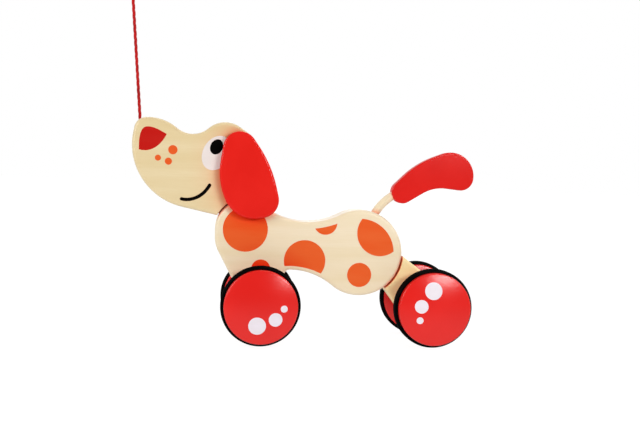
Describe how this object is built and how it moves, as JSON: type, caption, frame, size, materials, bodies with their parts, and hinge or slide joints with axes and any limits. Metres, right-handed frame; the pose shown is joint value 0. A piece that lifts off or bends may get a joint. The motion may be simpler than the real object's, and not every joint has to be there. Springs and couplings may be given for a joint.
{
  "type": "pull-along toy dog",
  "caption": "Wheeled wooden pull-along puppy with a nodding head, a swinging hind leg, rubber-tyred wheels on turning axles, a paddle tail and a pull cord.",
  "frame": {"origin": "on the floor, under the middle of the toy's length and width, without its cord", "axes": "nose to -X, tail to +X, the toy's left side to -Y, up to +Z"},
  "size_m": [0.2767, 0.0824, 0.2896],
  "materials": {
    "natural_wood": "pale hardwood under clear satin lacquer",
    "red_wood": "glossy red lacquer on wood",
    "dowel_wood": "bare hardwood dowel",
    "black_rubber": "smooth black rubber",
    "red_cord": "twisted red cotton cord",
    "washer_steel": "plain steel"
  },
  "bodies": {
    "body": {"body_core": "natural_wood", "body_left_side": "natural_wood", "body_right_side": "natural_wood", "neck_pin": "dowel_wood", "hip_pin": "dowel_wood", "tail_stem": "natural_wood", "tail_paddle": "red_wood"},
    "head": {"head_core": "natural_wood", "head_left_cheek": "natural_wood", "head_right_cheek": "natural_wood", "left_ear": "red_wood", "right_ear": "red_wood", "ear_dowel": "dowel_wood", "pull_cord": "red_cord", "cord_knots": "red_cord", "pull_bead": "red_wood"},
    "hind_leg": {"hind_leg_core": "natural_wood", "hind_leg_left_side": "natural_wood", "hind_leg_right_side": "natural_wood"},
    "front_wheels": {"front_axle": "dowel_wood", "front_left_wheel": "red_wood", "front_right_wheel": "red_wood", "front_left_tyre": "black_rubber", "front_right_tyre": "black_rubber", "front_washers": "washer_steel"},
    "rear_wheels": {"rear_axle": "dowel_wood", "rear_left_wheel": "red_wood", "rear_right_wheel": "red_wood", "rear_left_tyre": "black_rubber", "rear_right_tyre": "black_rubber", "rear_washers": "washer_steel"}
  },
  "joints": [
    {"name": "head_nod", "type": "hinge", "parent": "body", "child": "head", "pos_m": [-0.046, 0, 0.0845], "axis": [0, -1, 0], "range_deg": [-14, 20]},
    {"name": "hind_leg_swing", "type": "hinge", "parent": "body", "child": "hind_leg", "pos_m": [0.0418, 0, 0.0689], "axis": [0, -1, 0], "range_deg": [-24, 30]},
    {"name": "front_axle_spin", "type": "hinge", "parent": "body", "child": "front_wheels", "pos_m": [-0.0338, 0, 0.0297], "axis": [0, -1, 0], "continuous": true},
    {"name": "rear_axle_spin", "type": "hinge", "parent": "hind_leg", "child": "rear_wheels", "pos_m": [0.096, 0, 0.0297], "axis": [0, -1, 0], "continuous": true}
  ]
}
